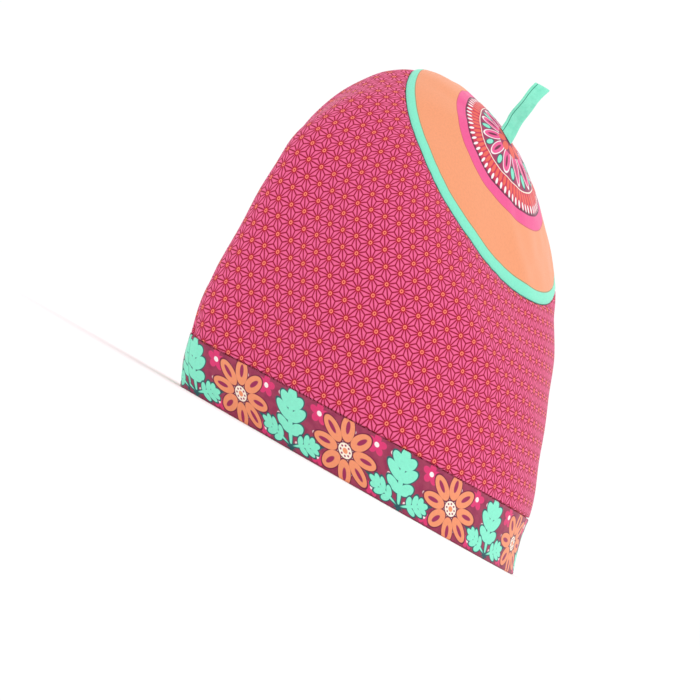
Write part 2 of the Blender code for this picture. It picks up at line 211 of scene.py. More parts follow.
def climbs(turns, wanted):
    """How far straight up each wanted run lies: less than the run where a strip slants."""
    levels = np.linspace(0.0, 1.0, WALL_STEPS + 1)
    _, runs, _ = strips(turns)
    slid = np.diff(slanted(turns, levels), axis=1) * section_value(levels[1:], "half_width")
    slid = np.concatenate([slid, np.zeros((len(turns), CROWN_STEPS))], axis=1)
    steps = np.sqrt(np.maximum(np.diff(runs, axis=1) ** 2 - slid**2, 0.0))
    return np.array([np.interp(*strip) for strip in zip(wanted, runs, added_up(steps, 1))])


def read_strips(points, runs, wanted):
    """The points at the wanted runs, one row of runs for each strip."""
    found = np.empty(wanted.shape + (3,))
    for strip in range(len(points)):
        for axis in range(3):
            found[strip, :, axis] = np.interp(wanted[strip], runs[strip], points[strip, :, axis])
    return found


_, front_runs, front_seam = strips(np.radians([270.0]))
print("front: seam at", round(front_seam[0], 1), "mm, crown middle at", round(front_runs[0, -1], 1), "mm")

# %% [markdown]
# ## Which way the cloth faces
#
# Layers lie at a depth below the skin, so the skin also needs a direction out of it. It is smoothed over a
# few millimetres, level near the hem so that the fold lies flat, and straight out of the crown at its middle,
# where all strips meet.

# %% Directions out of the skin
NORMAL_REACH = 5.0
NORMAL_TURN = math.radians(3.0)
UPRIGHT_BELOW = 16.0
UPRIGHT_ENDS = 44.0
POLE_BLEND = 9.0
TINY = 1e-6


def skin(turns, runs):
    """Points of the smooth skin and directions out of it, at runs for each turn."""
    points, strip_runs, _ = strips(turns)
    here = read_strips(points, strip_runs, runs)
    above, below = (read_strips(points, strip_runs, runs + reach) for reach in (NORMAL_REACH, -NORMAL_REACH))
    ahead, behind = (read_strips(*strips(turns + turn)[:2], runs) for turn in (NORMAL_TURN, -NORMAL_TURN))
    # Where all strips meet, the way round has no length, so it is kept from vanishing.
    sideways = np.stack([-np.sin(turns), np.cos(turns), np.zeros_like(turns)], -1)[:, None, :]
    out = unit(np.cross(ahead - behind + TINY * sideways, above - below))
    level = unit(out * (1.0, 1.0, 0.0) + (0.0, 0.0, TINY * MM))
    out = unit(between(level, out, smooth_step(UPRIGHT_BELOW, UPRIGHT_ENDS, runs)[..., None]))
    to_middle = strip_runs[:, -1:] - runs
    at_middle = smooth_step(NORMAL_REACH + POLE_BLEND, NORMAL_REACH, to_middle)[..., None]
    return here, unit(between(out, CROWN_UP, at_middle))


# %% [markdown]
# ## Dents, creases and puckers
#
# Padded cloth is never a clean surface. Broad dents and swells come from the solids' own table, with a few
# more of the cloth alone. On top come shallow waves a few centimetres long, creases and soft
# ridges, and the short puckers beside a seam. All of them fade out at the crown's middle and at the hem,
# which has to lie flat.

# %% Relief of the cloth
DENTS = np.array((
    # turn, run, half turn, half run, proud
    (200, 80, 30, 22, -1.2),
    (234, 118, 20, 24, 1),
    (262, 52, 16, 12, -0.9),
    (286, 88, 22, 26, 1.1),
    (330, 60, 20, 22, -1.3),
    (20, 70, 24, 22, -1.2),
    (70, 110, 30, 30, 1.4),
    (118, 66, 18, 26, -1.8),
    (150, 124, 22, 20, -1.2),
    # The cloth alone has these.
    (216, 188, 12, 20, 1.4),
    (210, 160, 20, 14, 1.2),
    (192, 201, 13, 10, -1.5),
    (160, 229, 42, 12, -2),
    (228, 118, 22, 18, -1.7),
    (212, 45, 16, 20, 1),
    (30, 150, 24, 22, -0.9),
))
CREASES = np.array((
    # turn, run, tilt from level, half length, half width, proud
    (256, 37, 8, 14, 2.4, -0.55),
    (262, 43, 20, 11, 2.2, 0.40),
    (232, 38, -10, 15, 3, -0.45),
    (290, 44, -24, 20, 3.4, -0.50),
    (307, 64, -24, 26, 4.5, -0.65),
    (246, 92, 62, 22, 4.5, -0.35),
    (208, 64, -55, 18, 3.6, -0.45),
    (304, 84, -43, 38, 8, 0.90),
    (30, 50, 25, 20, 3.6, -0.55),
    (62, 44, -15, 22, 3, -0.50),
    (84, 90, 60, 26, 4.5, -0.50),
    (128, 52, 32, 20, 3.6, -0.60),
    (152, 84, -60, 22, 4, -0.45),
    (172, 40, 12, 14, 2.6, -0.40),
    (355, 112, 0, 52, 11, 1.50),
    (206, 62, 0, 30, 22, 1.50),
    (180, 146, 0, 45, 20, 1.80),
))
WAVES = np.array((
    # waves each way round, waves each 100 mm of run, offset, height
    (5, 1.1, 0.4, 0.22),
    (9, -1.7, 2.1, 0.16),
    (14, 2.3, 4, 0.10),
    (3, 3.1, 1.3, 0.14),
    (21, -3.7, 5.2, 0.06),
))
SKIN_RADIUS = 85.0
CREASE_BEND = 0.012
SEAM_PUCKER = 0.13
BAND_PUCKER = 0.17
PUCKER_REACH = 7.0
BAND_OUTSIDE = 26.0
HEM_FADE = (12.0, 40.0)
BAND_FADE = (4.0, 16.0)
MIDDLE_FADE = (2.0, 26.0)


def dents(turns, runs):
    """Broad dents and swells."""
    return sum(
        proud
        * np.exp(-((turn_apart(turns, turn)[:, None] / half_turn) ** 2) - ((runs - run) / half_run) ** 2)
        for turn, run, half_turn, half_run, proud in DENTS
    )


def creases(turns, runs):
    """Soft creases from the listed table, each a slanting trough or ridge."""
    total = np.zeros_like(runs)
    for turn, run, tilt, half_length, half_width, proud in CREASES:
        level = np.radians(turn_apart(turns, turn))[:, None] * SKIN_RADIUS
        up = runs - run
        lean = math.radians(tilt)
        along = level * math.cos(lean) + up * math.sin(lean)
        # A crease bends a little along its length.
        across = up * math.cos(lean) - level * math.sin(lean) - CREASE_BEND * along**2
        total += proud * np.exp(-((along / half_length) ** 2) - (across / half_width) ** 2)
    return total


def waves(turns, runs):
    """Shallow unevenness all over."""
    return sum(
        height * np.sin(around * turns[:, None] + math.tau * up * runs / 100.0 + offset)
        for around, up, offset, height in WAVES
    )


def puckers(turns, runs, edge, height):
    """Short ripples square to a seam, which fade away from it."""
    wobble = 0.6 * np.sin(5.0 * turns) + 0.5 * np.sin(13.0 * turns + 1.0)
    ripple = np.sin(58.0 * turns + wobble) + 0.6 * np.sin(83.0 * turns + 2.0 + 2.0 * wobble)
    strength = 0.65 + 0.35 * np.sin(7.0 * turns + 0.8)
    return height * (ripple * strength)[:, None] * np.exp(-np.abs(runs - edge) / PUCKER_REACH)


def relief(turns, runs):
    """How far the cloth stands proud of the smooth skin."""
    _, strip_runs, seam = strips(turns)
    seam, middle = seam[:, None], strip_runs[:, -1]
    total = dents(turns, runs) + creases(turns, runs) + waves(turns, runs)
    total = total + puckers(turns, runs, seam, SEAM_PUCKER)
    near_band = puckers(turns, runs, BAND_OUTSIDE, BAND_PUCKER) * smooth_step(*BAND_FADE, runs)
    total = total * smooth_step(*HEM_FADE, runs) * smooth_step(*MIDDLE_FADE, middle[:, None] - runs)
    return total + near_band


def placed(turns, runs, depths):
    """Points of a layer in metres, at depths below or above the uneven skin."""
    here, out = skin(turns, runs)
    return (here + out * (depths + relief(turns, runs))[..., None]) * MM


sample = relief(np.radians(np.arange(0.0, 360.0, 6.0)), np.linspace(30.0, 110.0, 17) * np.ones((60, 1)))
print("relief from", round(sample.min(), 2), "to", round(sample.max(), 2), "mm")

# %% [markdown]
# ## A grid that becomes a padded shell
#
# The rows and columns of a flat grid are easy to count, so each layer starts as one. Extruding it gives a
# second face and side walls in one step. The two faces are then laid on the skin at two depths. A cloth map
# is stored for the prints, in millimetres along the cloth.

# %% Grid to shell
CRISP_ANGLE = math.radians(50.0)
WELD = 2e-6


def flat_grid(columns, rows):
    """A flat bmesh grid, and the column and row of each of its points."""
    builder = bmesh.new()
    bmesh.ops.create_grid(builder, x_segments=columns, y_segments=rows, size=0.5)
    spots = [(round((vert.co.x + 0.5) * columns), round((vert.co.y + 0.5) * rows)) for vert in builder.verts]
    return builder, spots


def finished_mesh(name, builder):
    """A mesh with the shape of a bmesh, which is then let go."""
    mesh = bpy.data.meshes.new(name)
    builder.to_mesh(mesh)
    builder.free()
    return mesh


def add_object(name, data):
    """A new object in the scene."""
    added = bpy.data.objects.new(name, data)
    bpy.context.scene.collection.objects.link(added)
    return added


def new_piece(name, cloth, builder):
    """An object made from a finished bmesh, smooth but crisp at its edges."""
    bmesh.ops.recalc_face_normals(builder, faces=builder.faces)
    mesh = finished_mesh(name, builder)
    mesh.materials.append(cloth)
    mesh.shade_smooth()
    mesh.set_sharp_from_angle(angle=CRISP_ANGLE)
    print(name, "has", len(mesh.polygons), "faces")
    return add_object(name, mesh)


def shell(name, cloth, outer, inner, cloth_map, closed_round=False):
    """Lays a grid's two faces on two arrays of points, [column, row], with a cloth map."""
    columns, rows = outer.shape[0] - 1, outer.shape[1] - 1
    builder, spots = flat_grid(columns, rows)
    column_of = builder.verts.layers.int.new("column")
    row_of = builder.verts.layers.int.new("row")
    for vert, spot in zip(builder.verts, spots):
        vert[column_of], vert[row_of] = spot
    grown = bmesh.ops.extrude_face_region(builder, geom=builder.faces[:], use_keep_orig=True)
    lifted = {part for part in grown["geom"] if isinstance(part, bmesh.types.BMVert)}
    map_layer = builder.loops.layers.uv.new("cloth")
    for vert in builder.verts:
        column, row = vert[column_of], vert[row_of]
        vert.co = Vector(outer[column, row] if vert in lifted else inner[column, row])
    for face in builder.faces:
        for loop in face.loops:
            loop[map_layer].uv = cloth_map[loop.vert[column_of], loop.vert[row_of]]
    if closed_round:
        # The first and last columns meet, and the last row closes to a point.
        doubled = [
            face
            for face in builder.faces
            if len({vert[column_of] for vert in face.verts}) == 1
            or {vert[row_of] for vert in face.verts} == {rows}
        ]
        bmesh.ops.delete(builder, geom=doubled, context="FACES")
        bmesh.ops.remove_doubles(builder, verts=builder.verts, dist=WELD)
    return new_piece(name, cloth, builder)


BESIDE_SEAM = np.array((0.15, 0.45, 0.9, 1.5, 2.3, 3.3))


def half_turns(start, columns):
    """Turns from one side seam to the next, close together beside both."""
    beside = np.degrees(BESIDE_SEAM / SKIN_RADIUS)
    middle = np.linspace(beside[-1], 180.0 - beside[-1], columns + 1)[1:-1]
    return np.radians(start + np.concatenate([beside, middle, 180.0 - beside[::-1]]))


def level_length(points, climb):
    """Length along each row from the middle column, with the row's climb taken out."""
    step = np.linalg.norm(np.diff(points / MM, axis=0), axis=-1)
    rise = np.diff(climb, axis=0)
    length = added_up(np.sqrt(np.maximum(step**2 - rise**2, 0.0)))
    return length - length[len(length) // 2]


def plain_map(turns, runs):
    """Points of the smooth skin in metres, and a plain cloth map: length along each row, and climb."""
    flat, climb = skin(turns, runs)[0] * MM, climbs(turns, runs)
    return flat, np.stack([level_length(flat, climb), climb], -1)


# %% [markdown]
# ## Arithmetic for the prints
#
# The prints are drawn by the material itself, so they stay sharp at any distance. In a small class, each sign
# of ordinary arithmetic adds one Math node. Colours are mixed by masks from 0 to 1.

# %% Sums and inks


class Sum:
    """A number that the material works out at every point of the cloth."""

    tree = None

    def __init__(self, socket):
        self.socket = socket

    @staticmethod
    def of(kind, *values):
        """One Math node."""
        node = new_node("Math", operation=kind)
        for place, value in zip(node.inputs, values):
            feed(place, value)
        return Sum(node.outputs[0])

    def __abs__(self):
        return Sum.of("ABSOLUTE", self)


def new_node(kind, **settings):
    """A node in the material that is being drawn."""
    node = Sum.tree.nodes.new("ShaderNode" + kind)
    for setting, value in settings.items():
        setattr(node, setting, value)
    return node


def feed(place, value):
    """Gives a socket a number, a plain colour, a sum or another node's output."""
    if isinstance(value, Sum):
        value = value.socket
    if isinstance(value, bpy.types.NodeSocket):
        Sum.tree.links.new(value, place)
    else:
        place.default_value = value


def fill(node, **sockets):
    """Feeds a node's inputs by name, with an underscore for each space."""
    for name, value in sockets.items():
        feed(node.inputs[name.replace("_", " ")], value)


for sign, kind in (("add", "ADD"), ("sub", "SUBTRACT"), ("mul", "MULTIPLY"), ("truediv", "DIVIDE")):
    setattr(Sum, f"__{sign}__", lambda self, other, kind=kind: Sum.of(kind, self, other))
    setattr(Sum, f"__r{sign}__", lambda self, other, kind=kind: Sum.of(kind, other, self))


def least(*values):
    """The smallest of several numbers."""
    found = values[0]
    for value in values[1:]:
        found = Sum.of("MINIMUM", found, value)
    return found


def length_of(x, y):
    """The length of (x, y)."""
    return Sum.of("SQRT", x * x + y * y)


def near(value, middle, width):
    """The distance to the nearest of a row of middles that repeat every width."""
    return Sum.of("WRAP", value - middle, 0.5 * width, -0.5 * width)


def rising(value, low, high):
    """0 below low and 1 above high, with a smooth rise."""
    node = new_node("MapRange", interpolation_type="SMOOTHSTEP")
    fill(node, From_Min=low, From_Max=high, Value=value)
    return Sum(node.outputs["Result"])


def inside(distance, soft=0.12):
    """A mask that is 1 where a distance is below zero, with a soft edge in millimetres."""
    return 1.0 - rising(distance, -soft, soft)


def linear(red, green, blue):
    """A screen colour of 0 to 255, as a shader takes it."""
    shares = [channel / 255.0 for channel in (red, green, blue)]
    straight = [share / 12.92 if share <= 0.04045 else ((share + 0.055) / 1.055) ** 2.4 for share in shares]
    return (*straight, 1.0)


def mixed(under, over, share, way="MIX"):
    """Two colours mixed or multiplied, with a share for the second."""
    node = new_node("Mix", data_type="RGBA", blend_type=way)
    # Inputs 6 and 7 are its two colours.
    for place, value in zip((node.inputs["Factor"], node.inputs[6], node.inputs[7]), (share, under, over)):
        feed(place, value)
    return node.outputs[2]


def ink(colour, *coats):
    """Lays coats over a colour in turn. Each is a colour and a mask, which is 1 where it covers."""
    for over, mask in coats:
        colour = mixed(colour, over, mask)
    return colour


def noise(scale, detail=2.0):
    """Cloudy noise, with about this many clouds to a millimetre of cloth."""
    node = new_node("TexNoise")
    fill(node, Scale=scale, Detail=detail, Vector=Sum.tree.nodes["UV Map"].outputs["UV"])
    return Sum(node.outputs["Fac"])


# %% [markdown]
# ## One finish for all the cotton
#
# Printed cotton is matt with a faint pale bloom at glancing angles, which the shader's sheen gives. Its plain
# weave is a fine bump of crossing threads. Threads take the dye unevenly, so a little noise lightens and
# darkens every print.

# %% The cotton finish
WEAVE_PITCH = 0.55
WEAVE_DEPTH = 0.045 * MM
WEAVE_STRENGTH = 0.55
DYE_CLOUDS = 0.9
THREAD_CLOUDS = 3.2
BLOOM = (1.0, 0.92, 0.94, 1.0)


def start_cloth(name):
    """An empty cloth material, and the two numbers of its cloth map in millimetres."""
    cloth = bpy.data.materials.new(name)
    cloth.use_nodes = True
    Sum.tree = cloth.node_tree
    split = new_node("SeparateXYZ")
    feed(split.inputs[0], new_node("UVMap", uv_map="cloth").outputs["UV"])
    return cloth, Sum(split.outputs["X"]), Sum(split.outputs["Y"])


def finish_cloth(cloth, colour, across, up, sheen=0.25):
    """Adds the uneven dye, the weave bump, the sheen and the shader to a print."""
    threads = noise(THREAD_CLOUDS, 1.0)
    tone = 0.86 + 0.18 * noise(DYE_CLOUDS, 3.0) + 0.10 * threads
    grey = new_node("CombineColor")
    for channel in grey.inputs:
        feed(channel, tone)
    angle_a_mm = math.tau / WEAVE_PITCH
    weave = Sum.of("SINE", across * angle_a_mm) * Sum.of("SINE", up * angle_a_mm)
    bump = new_node("Bump")
    fill(bump, Strength=WEAVE_STRENGTH, Distance=WEAVE_DEPTH, Height=0.5 * weave + 0.8 * threads)
    fill(
        cloth.node_tree.nodes["Principled BSDF"],
        Base_Color=mixed(colour, grey.outputs[0], 1.0, "MULTIPLY"),
        Normal=bump.outputs["Normal"],
        Roughness=0.78,
        Specular_IOR_Level=0.22,
        Sheen_Weight=sheen,
        Sheen_Roughness=0.45,
        Sheen_Tint=BLOOM,
    )
    return cloth


# %% [markdown]
# ## The hemp-leaf print of the side panels
#
# This is an old lattice: a triangular net of points with twelve lines out of each, six along the net's edges
# and six to the middles of its triangles. The nearest point of the net is found first, then the angle round
# it is folded like a paper star until only a thirty-degree sliver is left to draw. One edge of the sliver is
# a line to the next point, and the other is a line to the middle of a triangle. The printed net is a little
# narrower than it is tall.

# %% The hemp-leaf print
LATTICE_PITCH = 7.9
LATTICE_NARROWED = 0.88
# From here on these are shares of the pitch.
LINE_EDGE = (0.022, 0.046)
RING_RADIUS = 0.116
HEART_RADIUS = 0.050
DARK_LINE = linear(146, 4, 44)
RED_LINE = linear(172, 18, 42)
PETAL_PINK = linear(240, 103, 151)
PETAL_DEEP = linear(214, 58, 108)
PETAL_RED = linear(206, 46, 78)
RING_ORANGE = linear(252, 136, 112)
RING_HEART = linear(186, 40, 44)


def nearest_net_point(x, y):
    """The place relative to the nearest point of a triangular net with a side of one."""
    height = math.sqrt(3.0)
    first = near(x, 0.0, 1.0), near(y, 0.0, height)
    second = near(x, 0.5, 1.0), near(y, 0.5 * height, height)
    first_length, second_length = length_of(*first), length_of(*second)
    use_first = Sum.of("LESS_THAN", first_length, second_length)
    x, y = (between(b, a, use_first) for a, b in zip(first, second))
    return x, y, least(first_length, second_length)


def hemp_leaf_cloth(name):
    """Magenta cotton with the hemp-leaf lattice."""
    cloth, across, up = start_cloth(name)
    x, y, distance = nearest_net_point(across / (LATTICE_PITCH * LATTICE_NARROWED), up / LATTICE_PITCH)
    sliver = math.pi / 6.0
    folded = Sum.of("PINGPONG", Sum.of("ARCTAN2", abs(y), abs(x)), sliver)
    line = least(distance * Sum.of("SINE", folded), distance * Sum.of("SINE", sliver - folded))
    leaf = ink(PETAL_PINK, (PETAL_DEEP, rising(line, 0.10, 0.03) * 0.6))
    colour = ink(
        ink(PETAL_RED, (leaf, rising(distance, 0.12, 0.24))),
        (ink(RED_LINE, (DARK_LINE, rising(distance, 0.14, 0.30))), 1.0 - rising(line, *LINE_EDGE)),
        (RING_ORANGE, inside(distance - RING_RADIUS, 0.014)),
        (RING_HEART, inside(distance - HEART_RADIUS, 0.016)),
    )
    return finish_cloth(cloth, colour, across, up, sheen=0.12)


PANEL_CLOTH = hemp_leaf_cloth("magenta_hemp_leaf")
print("hemp-leaf print:", len(PANEL_CLOTH.node_tree.nodes), "nodes")

# %% [markdown]
# ## The side panels
#
# Two padded panels make the wall of the cosy, joined at the sides. Each is print, wadding and backing, so it
# is a shell with a real thickness: thin under the band, full half way up and drawn in again at the crown
# seam. Its edges roll inwards at the seams, which gives every seam its thin shadow.

# %% How deep each layer lies
CLEARANCE = 0.3
BAND_CLOTH = 1.2
BAND_PROUD = 0.2
BAND_INSIDE = 12.0
PANEL_AT_HEM = 1.6
PANEL_PADDED = 4.6
PANEL_AT_CROWN = 3.0
CROWN_PADDED = 4.4
LINING_CLOTH = 1.0
UNDER_BAND = BAND_PROUD - BAND_CLOTH - CLEARANCE


def bell(distance, height, width):
    """A smooth bump that is highest at a distance of zero."""
    return height * np.exp(-((distance / width) ** 2))


def side_seam_dip(turns):
    """How far cloth is drawn in beside the side seams: a wide valley, and a sharp one in it."""
    apart = np.minimum(np.abs(turn_apart(turns, SEAM_LEFT)), np.abs(turn_apart(turns, SEAM_RIGHT)))
    distance = np.radians(apart)[:, None] * SKIN_RADIUS
    return bell(distance, 0.7, 4.0) + bell(distance, 0.55, 0.8)


def crown_seam_dip(turns, runs):
    """How far cloth is drawn in beside the crown seam."""
    distance = runs - strips(turns)[2][:, None]
    return bell(distance, 0.8, 3.0) + bell(distance, 0.5, 0.7)


def inside_depth(turns, runs):
    """The depth of the inner face of the panels, and of the crown above the seam."""
    seam = strips(turns)[2][:, None]
    full = between(PANEL_AT_HEM, PANEL_PADDED, smooth_step(BAND_OUTSIDE, BAND_OUTSIDE + 30.0, runs))
    padded = between(full, PANEL_AT_CROWN, smooth_step(seam - 28.0, seam, runs))
    wall = between(UNDER_BAND - PANEL_AT_HEM, -padded, smooth_step(BAND_OUTSIDE, BAND_OUTSIDE + 24.0, runs))
    crown = -between(PANEL_AT_CROWN, CROWN_PADDED, smooth_step(seam, seam + 20.0, runs))
    return np.where(runs <= seam, wall, crown)


# %% [markdown]
# The lattice is printed on flat cloth, before the panel is sewn. Blender's unwrap with the least stretch lays
# the curved panel flat again. The result is turned and sized to a plain guide, the length along each row and
# the climb up each strip, so one unit stays one millimetre.

# %% Lay a panel flat


def laid_flat(points, guide):
    """A cloth map in millimetres for a grid of points, with as little stretch as possible."""
    builder, spots = flat_grid(points.shape[0] - 1, points.shape[1] - 1)
    for vert, spot in zip(builder.verts, spots):
        vert.co = Vector(points[spot])
    area = sum(face.calc_area() for face in builder.faces)
    mesh = finished_mesh("flat_cloth", builder)
    cloth = add_object("flat_cloth", mesh)
    bpy.context.view_layer.objects.active = cloth
    bpy.ops.object.mode_set(mode="EDIT")
    bpy.ops.mesh.select_all(action="SELECT")
    bpy.ops.uv.unwrap(method="MINIMUM_STRETCH", margin=0.0)
    bpy.ops.object.mode_set(mode="OBJECT")
    flat = np.zeros(points.shape[:2], complex)
    layer = mesh.uv_layers.active.data
    for loop, corner in zip(mesh.loops, layer):
        flat[spots[loop.vertex_index]] = complex(*corner.uv)
    spread = sum(
        abs(sum(layer[i].uv.cross(layer[j].uv) for i, j in zip(loops, loops[1:] + loops[:1]))) / 2.0
        for loops in (list(face.loop_indices) for face in mesh.polygons)
    )
    bpy.data.objects.remove(cloth)
    bpy.data.meshes.remove(mesh)
    wanted = guide[..., 0] + 1j * guide[..., 1]
    flat, target = flat - flat.mean(), wanted - wanted.mean()
    straight, mirrored = np.sum(target * flat.conj()), np.sum(target * flat)
    # The unwrap may lay the cloth face down.
    if abs(mirrored) > abs(straight):
        flat, straight = flat.conj(), mirrored
    size = math.sqrt(area / spread) / MM
    flat = flat * size * straight / abs(straight) + wanted.mean()
    return np.stack([flat.real, flat.imag], -1)


# %% Sew the two panels
PANEL_COLUMNS = 126
PANEL_ROWS = 66
UNDER_BAND_ROWS = np.array((
    1.8, 8.0, 15.0, 21.0, 24.6, 26.0, 26.3, 26.55, 26.8, 27.1, 27.6, 28.4, 29.6, 31.2,
))
BELOW_CROWN_ROWS = np.array((3.4, 2.3, 1.5, 0.9, 0.45, 0.15))


def panel_runs(turns):
    """Runs of the panel's rows for each turn: close together beside the band and the crown seam."""
    first, last = UNDER_BAND_ROWS[-1], BELOW_CROWN_ROWS[0]
    return np.array([
        np.concatenate([
            UNDER_BAND_ROWS,
            np.linspace(first, top - last, PANEL_ROWS + 1)[1:-1],
            top - BELOW_CROWN_ROWS,
        ])
        for top in strips(turns)[2]
    ])


def sew_panel(name, start):
    """One padded side panel."""
    turns = half_turns(start, PANEL_COLUMNS)
    runs = panel_runs(turns)
    free = -side_seam_dip(turns) - crown_seam_dip(turns, runs)
    # Under the band the panel lies deeper, and it steps out just above.
    step_out = smooth_step(BAND_OUTSIDE + CLEARANCE, BAND_OUTSIDE + 0.7, runs)
    outer = placed(turns, runs, between(UNDER_BAND, free, step_out))
    inner = placed(turns, runs, inside_depth(turns, runs))
    flat, guide = plain_map(turns, runs)
    cloth_map = laid_flat(flat, guide)
    print(name, "moves", round(float(np.abs(cloth_map - guide).max()), 1), "mm at most from the guide")
    return shell(name, PANEL_CLOTH, outer, inner, cloth_map)


panel_front = sew_panel("side_panel_front", SEAM_LEFT)
panel_back = sew_panel("side_panel_back", SEAM_RIGHT)
for panel, node in ((panel_front, "panel_front"), (panel_back, "panel_back")):
    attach(panel, "root")
    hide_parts(node)

# %% [markdown]
# ## The crown print
#
# The crown is one round of cloth with rings of colour, so its print is drawn by distance from the middle. The
# distance is a share of the way to the seam, so every ring keeps an even width although the dome is fuller on
# one side. Inside the pink ring lies a plain rosette of petals, dashes and leaves, made by folding the angle
# as many times as there are petals.

# %% The crown print
CROWN_RADIUS = 65.0
ROSETTE_RADIUS = 29.6
FIELD_RADIUS = 21.6
PINK_FROM, ORANGE_FROM, MINT_FROM = 0.475 * CROWN_RADIUS, 0.56 * CROWN_RADIUS, 0.925 * CROWN_RADIUS
MINT = linear(133, 233, 202)
ORANGE = linear(241, 157, 114)
PINK = linear(238, 88, 148)
PLUM = linear(158, 48, 92)
DEEP_PLUM = linear(112, 30, 66)
CREAM = linear(253, 240, 222)
CORAL = linear(236, 100, 84)
CRIMSON = linear(200, 46, 84)
TEAL = linear(44, 92, 98)
OLIVE = linear(138, 128, 78)
BRICK = linear(205, 84, 92)
WHITE = linear(252, 244, 244)


def petal(place, middle, half_length, half_width):
    """Roughly the distance outside an oval whose length lies along x."""
    x, y = place
    return (length_of((x - middle) / half_length, y / half_width) - 1.0) * half_width


def folded_round(distance, angle, count, offset=0.0):
    """The place in one of some equal slices round the middle: along its middle line, and aside."""
    slice_angle = near(angle, offset, math.tau / count)
    return distance * Sum.of("COSINE", slice_angle), distance * Sum.of("SINE", slice_angle)


def crown_cloth(name):
    """Rings of mint, orange and pink round a generic rosette, with a dark teal line of painted seam shadow
    along the edge.
    """
    cloth, across, up = start_cloth(name)
    distance = length_of(across, up)
    angle = Sum.of("ARCTAN2", up, across)
    dash = folded_round(distance, angle, 64)
    ray = folded_round(distance, angle, 64, math.pi / 64.0)
    leaf = petal(folded_round(distance, angle, 12, math.pi / 12.0), 17.2, 2.7, 1.15)
    long_petal = folded_round(distance, angle, 12)
    short_petal = folded_round(distance, angle, 8, 0.2)
    colour = ink(
        DEEP_PLUM,
        # Pale dashes round the edge of the rosette, then rays.
        (CRIMSON, inside(distance - ROSETTE_RADIUS)),
        (WHITE, inside(petal(dash, 28.4, 1.7, 0.62))),
        (CORAL, inside(petal(ray, 24.6, 2.7, 0.85))),
        # A plum field with leaves and long petals.
        (PLUM, inside(distance - FIELD_RADIUS)),
        (CREAM, inside(abs(distance - FIELD_RADIUS) - 0.25)),
        (TEAL, inside(leaf - 0.4)),
        (MINT, inside(leaf)),
        (WHITE, inside(petal(long_petal, 13.0, 6.4, 2.1) - 0.35)),
        (PINK, inside(petal(long_petal, 13.0, 6.4, 2.1))),
        (DEEP_PLUM, inside(petal(long_petal, 13.4, 3.6, 0.6))),
        # Short petals round a dark middle.
        (PLUM, inside(distance - 8.0)),
        (CORAL, inside(petal(short_petal, 5.6, 3.0, 1.8))),
        (DEEP_PLUM, inside(distance - 2.0)),
        # The plain rings outside the rosette, with a thin line where two meet. The dark teal line at the very
        # edge is painted seam shadow.
        (PINK, rising(distance, PINK_FROM - 0.15, PINK_FROM + 0.15)),
        (ORANGE, rising(distance, ORANGE_FROM - 0.1, ORANGE_FROM + 0.1)),
        (BRICK, inside(abs(distance - ORANGE_FROM) - 0.22) * 0.8),
        (MINT, rising(distance, MINT_FROM - 0.1, MINT_FROM + 0.1)),
        (OLIVE, inside(abs(distance - MINT_FROM) - 0.22) * 0.75),
        # Painted seam shadow: a dark teal line along the crown's very edge.
        (TEAL, rising(distance, 0.992 * CROWN_RADIUS, 0.998 * CROWN_RADIUS) * 0.75),
    )
    return finish_cloth(cloth, colour, across, up)


CROWN_CLOTH = crown_cloth("crown_rings")
print("crown print:", len(CROWN_CLOTH.node_tree.nodes), "nodes")

# %% [markdown]
# ## The padded crown
#
# The crown is the same kind of shell, but its grid goes all the way round: the first and last columns are
# welded, and the last row closes to one point under the loop.

# %% Sew the crown
CROWN_COLUMNS = 180
CROWN_ROWS = 32
ABOVE_SEAM_ROWS = np.array((0.15, 0.45, 0.9, 1.5, 2.3, 3.4))


def round_turns(columns):
    """Turns all the way round, from one side seam back to it."""
    return np.radians(SEAM_LEFT + np.linspace(0.0, 360.0, columns + 1))


turns = round_turns(CROWN_COLUMNS)
_, strip_runs, seam_runs = strips(turns)
runs = np.array([
    np.concatenate([
        bottom + ABOVE_SEAM_ROWS,
        np.linspace(bottom + ABOVE_SEAM_ROWS[-1], middle, CROWN_ROWS + 1)[1:],
    ])
    for bottom, middle in zip(seam_runs, strip_runs[:, -1])
])
share_out = (strip_runs[:, -1:] - runs) / (strip_runs[:, -1] - seam_runs)[:, None]
ring_turn = slanted(turns, np.array([1.0]))
crown_map = CROWN_RADIUS * np.stack([share_out * np.cos(ring_turn), share_out * np.sin(ring_turn)], -1)
crown = shell(
    "padded_crown",
    CROWN_CLOTH,
    placed(turns, runs, -crown_seam_dip(turns, runs)),
    placed(turns, runs, inside_depth(turns, runs)),
    crown_map,
    closed_round=True,
)
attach(crown, "root")
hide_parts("crown")

# %% [markdown]
# ## The border print
#
# The band and the lining share one cotton: whole daisies in orange with cream middles, leaf sprigs in mint
# with a dark outline, small pink blossoms and white dots on plum. All of them are sums of ovals, repeated
# along the band.

# %% The border print
BORDER_REPEAT = 54.0
LEAF_MINT = linear(139, 241, 209)
DAISY_ORANGE = linear(243, 153, 112)
GROUND_PLUM = linear(162, 64, 93)
GROUND_SHADE = linear(148, 50, 84)
BLOSSOM = linear(224, 60, 118)
DOT_PINK = linear(248, 218, 220)


def turned(x, y, degrees):
    """The same place seen from a frame turned by some degrees."""
    cosine, sine = math.cos(math.radians(degrees)), math.sin(math.radians(degrees))
    return x * cosine + y * sine, y * cosine - x * sine


